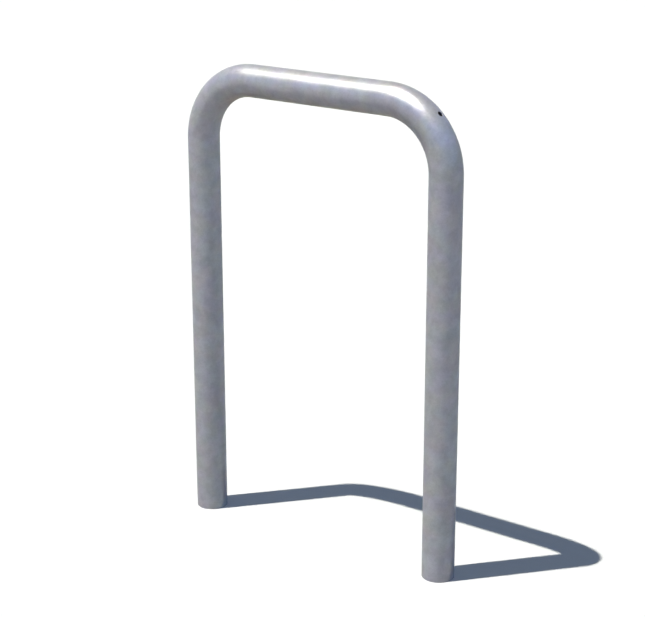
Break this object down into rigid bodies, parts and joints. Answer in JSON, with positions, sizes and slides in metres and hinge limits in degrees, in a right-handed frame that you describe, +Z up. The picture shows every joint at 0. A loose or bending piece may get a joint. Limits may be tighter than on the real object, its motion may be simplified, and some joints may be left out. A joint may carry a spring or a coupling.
{
  "type": "hoop bike rack",
  "caption": "Upside-down U of bent galvanised steel tube for leaning and locking bikes, on open roots that are cast into concrete with loose ribbed anchor bars.",
  "frame": {"origin": "on the ground line, midway between the two legs; the roots reach 250 mm below it", "axes": "+Z up, +X along the hoop from the left leg to the right leg, +Y away from the front; the vent hole is on the +X bend"},
  "size_m": [0.6, 0.15, 1.15],
  "materials": {
    "galvanised_steel": "satin",
    "bare_steel": "matte"
  },
  "bodies": {
    "root": {"hoop_tube": "galvanised_steel", "left_anchor_bar": "bare_steel", "right_anchor_bar": "bare_steel"}
  },
  "joints": []
}
